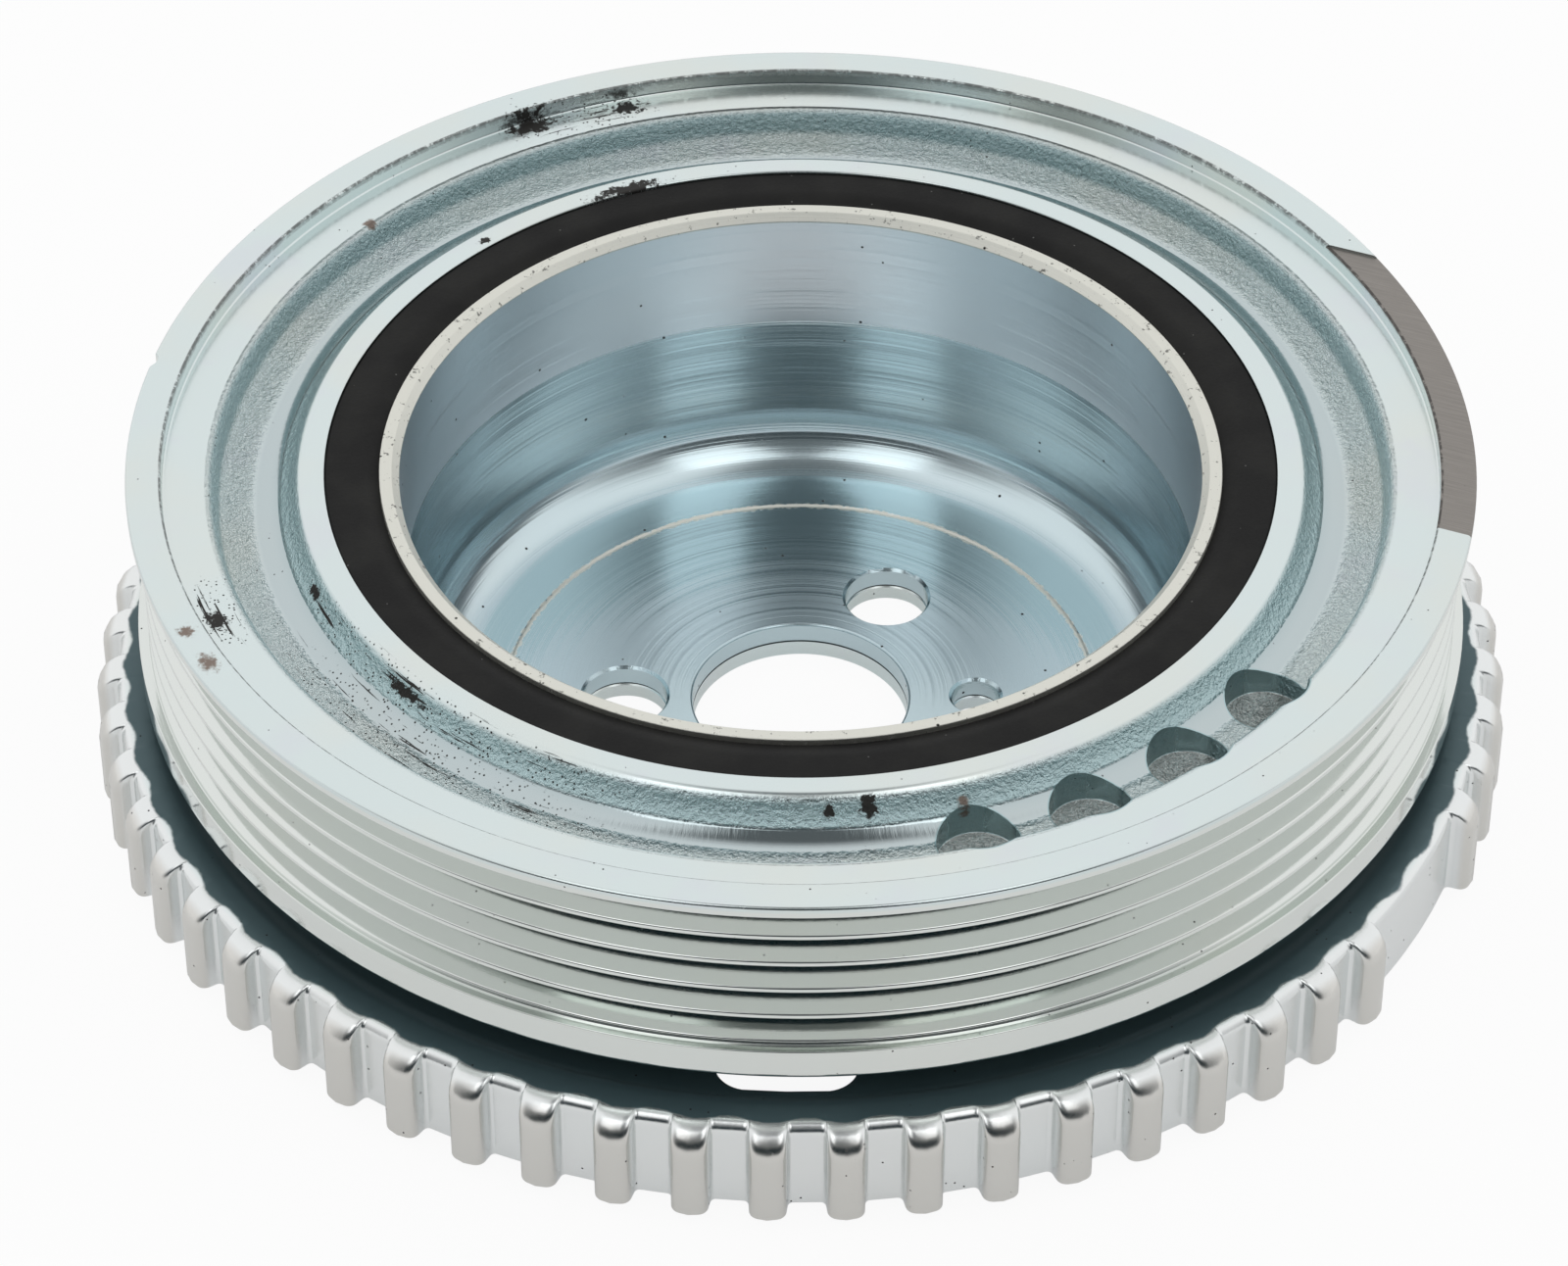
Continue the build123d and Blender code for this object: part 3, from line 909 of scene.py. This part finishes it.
class BALANCER_OT_ring(bpy.types.Operator):
    """Turn the grooved inertia ring, then drill, mill and notch it."""

    bl_idname = "balancer.ring"
    bl_label = "Inertia ring"

    def execute(self, context):
        size = context.scene.balancer_ring
        level = ring_levels()
        ring = lathe("ring_casting", rounded(self.section(size, level)), RING_STEPS)
        self.drill(ring, size, level)
        self.mill_patch(ring, size, level.rim, level.top)
        self.cut_notch(ring, size, level.rim, level.top)
        smooth(ring)
        stand_for(ring, "inertia_ring", ring_finish())
        return {"FINISHED"}

    def section(self, size, level):
        """Corners of the turned section: bore, lower flange, belt grooves, rim, recess and collar."""
        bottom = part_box("inertia_ring")[0].z
        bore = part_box("rubber_ring")[1].x
        rim = level.rim
        top = level.top
        skin = size.skin
        crest = rim - size.crest_drop
        root = crest - size.groove_depth
        flank = tan(size.groove_angle / 2)
        mouth_half = (size.groove_pitch - size.crest_flat) / 2
        root_half = mouth_half - size.groove_depth * flank
        last = size.groove_count - 1
        last_groove = top - size.first_groove - last * size.groove_pitch
        flange = last_groove - mouth_half - size.crest_flat
        corners = [
            (bore, bottom, 2 * skin),
            (rim, bottom, size.bottom_edge),
            (rim, flange, skin),
            (crest, flange, skin),
        ]
        for groove in reversed(range(size.groove_count)):
            middle = top - size.first_groove - groove * size.groove_pitch
            corners.append((crest, middle - mouth_half, 2 * skin))
            corners.append((root, middle - root_half, skin))
            corners.append((root, middle + root_half, skin))
            if groove:
                corners.append((crest, middle + mouth_half, skin))
            else:
                corners.append((rim, middle + mouth_half + size.crest_drop * flank, skin))
        corners += [
            (rim, top, 3 * skin),
            (level.rim_edge, top, 3 * skin),
            (level.rim_edge, level.face, 2 * skin),
            (level.face_edge, level.face, size.recess_edge),
            (level.recess_foot, level.recess, size.recess_corner),
            (level.collar_foot, level.recess, size.collar_foot),
            (level.collar_edge, level.collar, size.recess_corner),
            (bore, level.collar, 2 * skin),
        ]
        return corners

    def drill(self, ring, size, level):
        """Balance drillings with conical ends, in a row along the recess."""
        path = [
            (0.0, level.drill_end - size.drill_point),
            (size.drill_radius, level.drill_end),
            (size.drill_radius, level.top + PAST),
            (0.0, level.top + PAST),
        ]
        drill = lathe("drill", path, HOLE_STEPS)
        drill.data.transform(Matrix.Translation((level.drill_circle, 0.0, 0.0)))
        drill.data.transform(Matrix.Rotation(size.drill_start, 4, "Z"))
        cut(ring, copies_round(drill, size.drill_count, size.drill_step))

    def mill_patch(self, ring, size, rim, top):
        """A shallow cut across the rim, between two parallel lines."""
        middle = rim - size.rim_width / 2
        start = middle * Vector((cos(size.patch_start), sin(size.patch_start), 0.0))
        end = middle * Vector((cos(size.patch_end), sin(size.patch_end), 0.0))
        across = Vector((-sin(size.patch_slant), cos(size.patch_slant), 0.0))
        width = (end - start).dot(across)
        place = (start + end) / 2
        bpy.ops.mesh.primitive_cube_add(size=1.0)
        cutter = bpy.context.object
        scale = Matrix.Diagonal((rim, width, PAST, 1.0))
        turn = Matrix.Rotation(size.patch_slant, 4, "Z")
        lift = Matrix.Translation((place.x, place.y, top - size.patch_depth + PAST / 2))
        cutter.data.transform(lift @ turn @ scale)
        cut(ring, cutter)

    def cut_notch(self, ring, size, rim, top):
        """The timing notch in the upper flange."""
        path = [
            (0.0, top - size.first_groove),
            (size.notch_radius, top - size.first_groove),
            (size.notch_radius, top + PAST),
            (0.0, top + PAST),
        ]
        cutter = lathe("notch_cutter", path, NOTCH_STEPS)
        reach = rim + size.notch_radius - size.notch_depth
        cutter.data.transform(Matrix.Translation((reach, 0.0, 0.0)))
        cutter.data.transform(Matrix.Rotation(size.notch_angle, 4, "Z"))
        cut(ring, cutter)


class BALANCER_OT_tone_wheel(bpy.types.Operator):
    """Press the toothed tone wheel from one sheet and cut its windows and holes."""

    bl_idname = "balancer.tone_wheel"
    bl_label = "Tone wheel"

    def execute(self, context):
        size = context.scene.balancer_wheel
        low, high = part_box("tone_wheel")
        tip = high.x
        root = tip - size.tooth_height
        root_path = self.section(size, root, size.root_bend, root, high.z)
        tip_path = self.section(size, tip, size.tooth_bend, root, high.z)
        wheel = self.wrap(size, root_path, tip_path, root)
        step_inner = root - size.rim_width - size.step_run
        self.cut_windows(wheel, size, step_inner, high.z)
        cut_crankshaft_holes(wheel, low.z, low.z + size.sheet, size.hole_edge)
        smooth(wheel)
        stand_for(wheel, "tone_wheel", wheel_finish())
        return {"FINISHED"}

    def section(self, size, reach, bend, root, plate):
        """Closed path of the sheet: bore, dish, disc, step, toothed rim and skirt out to reach."""
        bore = mounts["crank_bore"]["dims"]["r_mm"] * MM
        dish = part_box("hub")[1].x + size.dish_gap
        disc = plate - size.disc_drop
        step_outer = root - size.rim_width
        skin = size.skin
        over = [
            (bore, size.sheet, 0.0),
            (dish, size.sheet, size.dish_bend),
            (dish + size.dish_draft, disc, size.dish_bend),
            (step_outer - size.step_run, disc, size.step_bend),
            (step_outer, plate, size.step_bend),
            (root - size.root_bend, plate, 0.0),
        ]
        under = parallel(over, size.sheet)
        inner_bend = max(bend - size.sheet, size.least_bend)
        skirt = [
            (reach, plate, bend),
            (reach, size.skirt_lift, skin),
            (reach - size.sheet, size.skirt_lift, skin),
            (reach - size.sheet, plate - size.sheet, inner_bend),
        ]
        return rounded(over[:-1] + skirt + under[-2::-1], SHEET_ARC)

    def tooth_plan(self, size, root, tip_width, tip_edge, foot_edge):
        """Plan of one pitch as (turn from the tooth's middle, share of the tooth's height) points."""
        tip_half = tip_width / 2
        half_pitch = pi / size.pitches * root
        corners = [
            (0.0, size.tooth_height, 0.0),
            (tip_half, size.tooth_height - size.crown, tip_edge),
            (tip_half + size.flank_run, 0.0, foot_edge),
            (half_pitch, 0.0, 0.0),
        ]
        side = [(run / root, rise / size.tooth_height) for run, rise in rounded(corners, SHEET_ARC)]
        return [(-turn, share) for turn, share in side[-2:0:-1]] + side

    def columns(self, size, root):
        """Outer and inner (angle, share of the tooth's height) of each column round the wheel."""
        outer = self.tooth_plan(size, root, size.tip_width, size.tip_edge, size.foot_edge)
        inner = self.tooth_plan(size, root, size.inner_tip_width, size.inner_tip_edge, size.inner_foot_edge)
        for tooth in range(size.pitches):
            middle = size.first_tooth + tooth * 2 * pi / size.pitches
            height = 1.0 if tooth < size.pitches - size.missing else 0.0
            for (turn, share), (inner_turn, inner_share) in zip(outer, inner):
                yield (middle + turn, share * height), (middle + inner_turn, inner_share * height)

    def wrap(self, size, root_path, tip_path, root):
        """Wrap a grid round the axis, one section to a column, standing out at the teeth."""
        columns = list(self.columns(size, root))
        columns.append(columns[0])
        points = list(zip(root_path, tip_path))
        points.append(points[0])
        bpy.ops.object.select_all(action="DESELECT")
        bpy.ops.mesh.primitive_grid_add(x_subdivisions=len(points) - 1, y_subdivisions=len(columns) - 1)
        wheel = bpy.context.object
        wheel.name = "tone_wheel_sheet"
        wheel.data.name = wheel.name
        turning_point = min(range(len(points)), key=lambda place: points[place][0][1] - points[place][0][0])
        vertices = iter(wheel.data.vertices)
        for outer, inner in columns:
            arch = size.skirt_arch * (1.0 - outer[1])
            for place, ((root_r, root_z), (tip_r, tip_z)) in enumerate(points):
                azimuth, share = outer if place <= turning_point or place == len(points) - 1 else inner
                r = root_r + (tip_r - root_r) * share
                z = root_z + (tip_z - root_z) * share
                if r > root - 2 * size.sheet and z < size.skirt_lift + size.sheet:
                    z += arch
                next(vertices).co = (r * cos(azimuth), r * sin(azimuth), z)
        bpy.ops.object.mode_set(mode="EDIT")
        bpy.ops.mesh.select_all(action="SELECT")
        bpy.ops.mesh.remove_doubles(threshold=WELD)
        bpy.ops.mesh.normals_make_consistent(inside=False)
        bpy.ops.object.mode_set(mode="OBJECT")
        return wheel

    def cut_windows(self, wheel, size, step_inner, plate):
        """Round-ended windows, bent along the turn and evenly spaced in the disc."""
        radius = size.window_width / 2
        middle = step_inner - size.window_gap - radius
        half_turn = (size.window_length / 2 - radius) / middle
        path = [(0.0, -PAST), (radius, -PAST), (radius, plate + PAST), (0.0, plate + PAST)]
        cutter = lathe("window_cutter", path, HOLE_STEPS)
        cutter.data.transform(Matrix.Translation((middle, 0.0, 0.0)))
        for vertex in cutter.data.vertices:
            if abs(vertex.co.y) > WELD:
                turn = half_turn if vertex.co.y > 0 else -half_turn
                vertex.co = Matrix.Rotation(turn, 3, "Z") @ vertex.co
        cutter.data.transform(Matrix.Rotation(size.window_start, 4, "Z"))
        cut(wheel, copies_round(cutter, size.window_count, 2 * pi / size.window_count))


class BALANCER_OT_stage(bpy.types.Operator):
    """Set up the floor, the lamps, the sky and the camera."""

    bl_idname = "balancer.stage"
    bl_label = "Studio"

    def execute(self, context):
        scene = context.scene
        stage = scene.balancer_stage
        scene.view_settings.view_transform = "Standard"
        self.add_floor(stage)
        self.add_lamps(stage)
        self.add_sky(scene, stage)
        self.add_camera(scene, stage)
        return {"FINISHED"}

    def add_floor(self, stage):
        """A pale floor that camera and mirror rays see nearly white, with a faint shadow left on it."""
        ground = cad_box[0][2] - stage.floor_gap
        bpy.ops.mesh.primitive_plane_add(size=stage.floor_size, location=(0.0, 0.0, ground))
        floor = bpy.context.object
        floor.name = "floor"
        paper = Finish("floor_paper")
        paper.set("Base Color", bpy.context.scene.balancer_colours.floor)
        paper.set("Roughness", 0.9)
        paper.set("Specular IOR Level", 0.0)
        rays = paper.tree.nodes.new("ShaderNodeLightPath")
        camera = Value(paper, rays.outputs["Is Camera Ray"])
        glossy = Value(paper, rays.outputs["Is Glossy Ray"])
        clear = Value(paper, rays.outputs["Is Transmission Ray"])
        seen = camera.math("MAXIMUM", clear) * stage.floor_glow
        seen = seen.math("MAXIMUM", glossy * stage.floor_mirror)
        glow = paper.node("ShaderNodeEmission", None, {"Color": (1.0, 1.0, 1.0), "Strength": 1.0})
        output = paper.tree.nodes["Material Output"]
        plain = Value(paper, paper.shader.outputs[0])
        blend = paper.node("ShaderNodeMixShader", None, {0: seen, 1: plain, 2: glow})
        paper.tree.links.new(blend.socket, output.inputs["Surface"])
        floor.data.materials.append(paper.material)

    def add_lamps(self, stage):
        """Two softboxes, one on each side of the camera."""
        for side, name in ((-1, "left_softbox"), (1, "right_softbox")):
            swing = side * stage.softbox_swing
            flat = stage.softbox_distance * cos(stage.softbox_rise)
            rise = stage.softbox_distance * sin(stage.softbox_rise)
            place = Vector((flat * sin(swing), -flat * cos(swing), rise))
            bpy.ops.object.light_add(type="AREA", location=place)
            lamp = bpy.context.object
            lamp.name = name
            lamp.data.shape = "RECTANGLE"
            lamp.data.size = stage.softbox_width
            lamp.data.size_y = stage.softbox_height
            lamp.data.energy = stage.softbox_glow * pi * stage.softbox_width * stage.softbox_height
            lamp.rotation_euler = (-place).to_track_quat("-Z", "Y").to_euler()

    def add_sky(self, scene, stage):
        """A soft white sky, dim on the camera's side, with a dark strip over it and a low dark opening."""
        world = bpy.data.worlds.new("studio")
        scene.world = world
        world.use_nodes = True
        sky = Nodes(world.node_tree)
        x, y, z = sky.split(sky.node("ShaderNodeTexCoord", output="Generated"))
        side = x.math("ABSOLUTE")

        # Parts of a unit direction between which each zone of the sky fades
        strip_side = (0.08, 0.22)
        strip_end = (0.1, 0.5)
        front = (-0.7, -0.1)
        opening_top = (0.4, 0.6)
        opening_side = (-0.6, -0.8)
        strip = sky.step(side, *strip_side, 1.0, 0.0) * sky.step(y, *strip_end, 1.0, 0.0)
        level = sky.step(y, *front, stage.sky_front, stage.sky_back)
        level = level * (1 - strip) + strip * stage.sky_strip
        opening = sky.step(z, *opening_top, 1.0, 0.0) * sky.step(y, *opening_side)
        level = level * (1 - opening)
        feed = world.node_tree.nodes["Background"].inputs["Color"]
        sky.feed(feed, sky.mix(level, stage.shade_tint, stage.light_tint))

    def add_camera(self, scene, stage):
        """The camera that took the photograph, as fitted to the rim and the teeth."""
        bpy.ops.object.camera_add()
        camera = bpy.context.object
        camera.name = "photo_camera"
        camera.data.lens = stage.lens
        camera.data.sensor_width = 36.0
        camera.data.sensor_fit = "HORIZONTAL"
        camera.data.clip_start = 0.01
        pitch = stage.camera_pitch
        yaw = stage.camera_yaw
        roll = stage.camera_roll
        ahead = Vector((sin(yaw) * cos(pitch), cos(yaw) * cos(pitch), -sin(pitch)))
        level = Vector((cos(yaw), -sin(yaw), 0.0))
        over = level.cross(ahead)
        right = cos(roll) * level + sin(roll) * over
        up = cos(roll) * over - sin(roll) * level
        turn = Matrix((right, up, -ahead)).transposed()
        reach = stage.camera_distance
        rise = stage.camera_elevation
        rim_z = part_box("inertia_ring")[1].z
        place = Vector((0.0, -reach * cos(rise), rim_z + reach * sin(rise)))
        camera.matrix_world = Matrix.Translation(place) @ turn.to_4x4()
        scene.camera = camera


class BALANCER_PT_panel(bpy.types.Panel):
    """The balancer's pieces and studio."""

    bl_idname = "BALANCER_PT_panel"
    bl_label = "Harmonic balancer"
    bl_space_type = "VIEW_3D"
    bl_region_type = "UI"
    bl_category = "Balancer"

    def draw(self, context):
        for operator in OPERATORS:
            self.layout.operator(operator.bl_idname)
        for group in GROUPS:
            settings = getattr(context.scene, group)
            for name in settings.__annotations__:
                self.layout.prop(settings, name)


OPERATORS = (
    BALANCER_OT_hub,
    BALANCER_OT_rubber,
    BALANCER_OT_ring,
    BALANCER_OT_tone_wheel,
    BALANCER_OT_stage,
)
CLASSES = (*GROUPS.values(), *OPERATORS, BALANCER_PT_panel)


def register():
    for cls in CLASSES:
        bpy.utils.register_class(cls)
    for name, group in GROUPS.items():
        setattr(bpy.types.Scene, name, PointerProperty(type=group))


def unregister():
    for name in GROUPS:
        delattr(bpy.types.Scene, name)
    for cls in reversed(CLASSES):
        bpy.utils.unregister_class(cls)


def main():
    register()
    bpy.ops.balancer.hub()
    bpy.ops.balancer.rubber()
    bpy.ops.balancer.ring()
    bpy.ops.balancer.tone_wheel()
    bpy.ops.balancer.stage()


if __name__ == "__main__":
    main()
